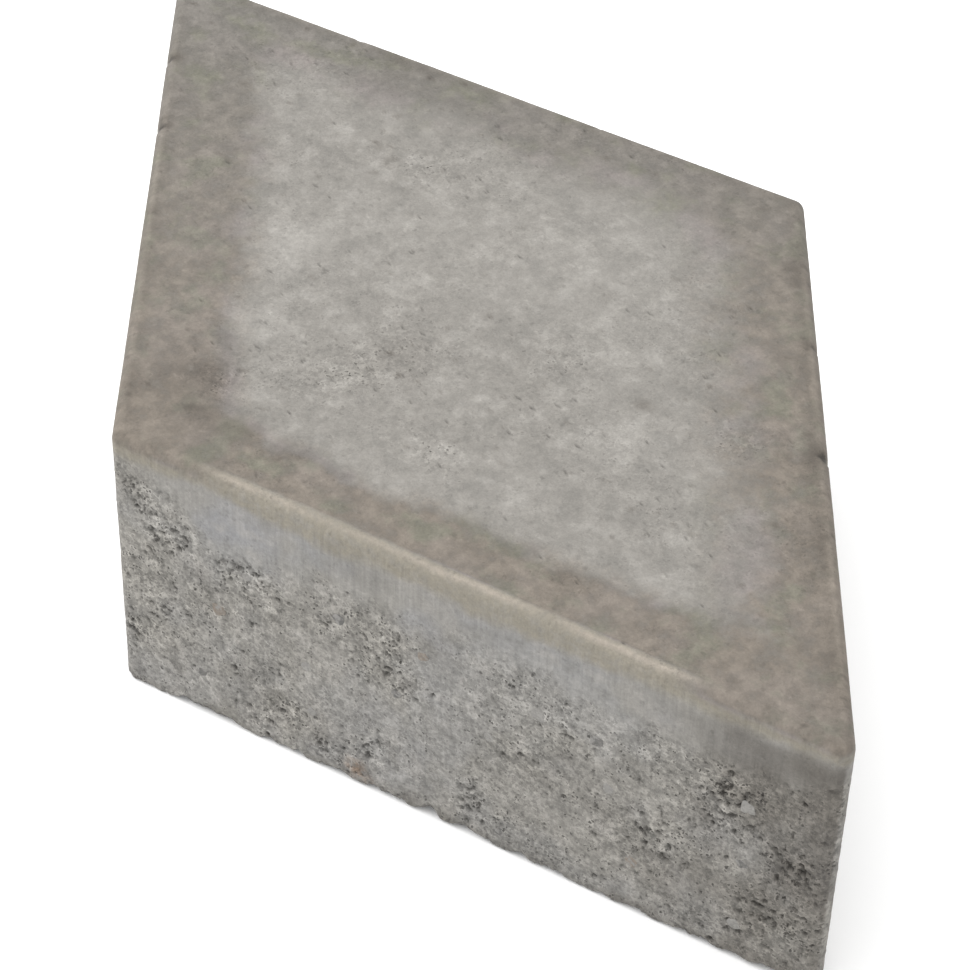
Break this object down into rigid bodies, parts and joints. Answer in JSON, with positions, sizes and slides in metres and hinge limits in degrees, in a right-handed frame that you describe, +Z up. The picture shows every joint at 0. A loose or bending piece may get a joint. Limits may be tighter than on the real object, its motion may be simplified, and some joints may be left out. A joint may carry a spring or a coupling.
{
  "type": "diamond paving block",
  "caption": "Diamond-shaped concrete paving block: fine face mix over a coarse core mix, rounded top arris, stone chips lying flush in the upright sides.",
  "frame": {"origin": "middle of the underside, where the block rests on its bed", "axes": "+X along the long diagonal, +Y along the short diagonal, +Z up through the walking surface"},
  "size_m": [0.3226, 0.189, 0.08],
  "materials": {
    "face_concrete": "fine cast concrete, matt, stained brown along the margins",
    "core_concrete": "coarse open-pored cast concrete, matt",
    "light_stone": "broken pale stone chip, matt",
    "dark_stone": "broken dark stone chip, matt",
    "rust_stone": "broken iron-stained stone chip, matt"
  },
  "bodies": {
    "root": {"face_layer": "face_concrete", "core_layer": "core_concrete", "light_chips": "light_stone", "dark_chips": "dark_stone", "rust_chips": "rust_stone"}
  },
  "joints": []
}
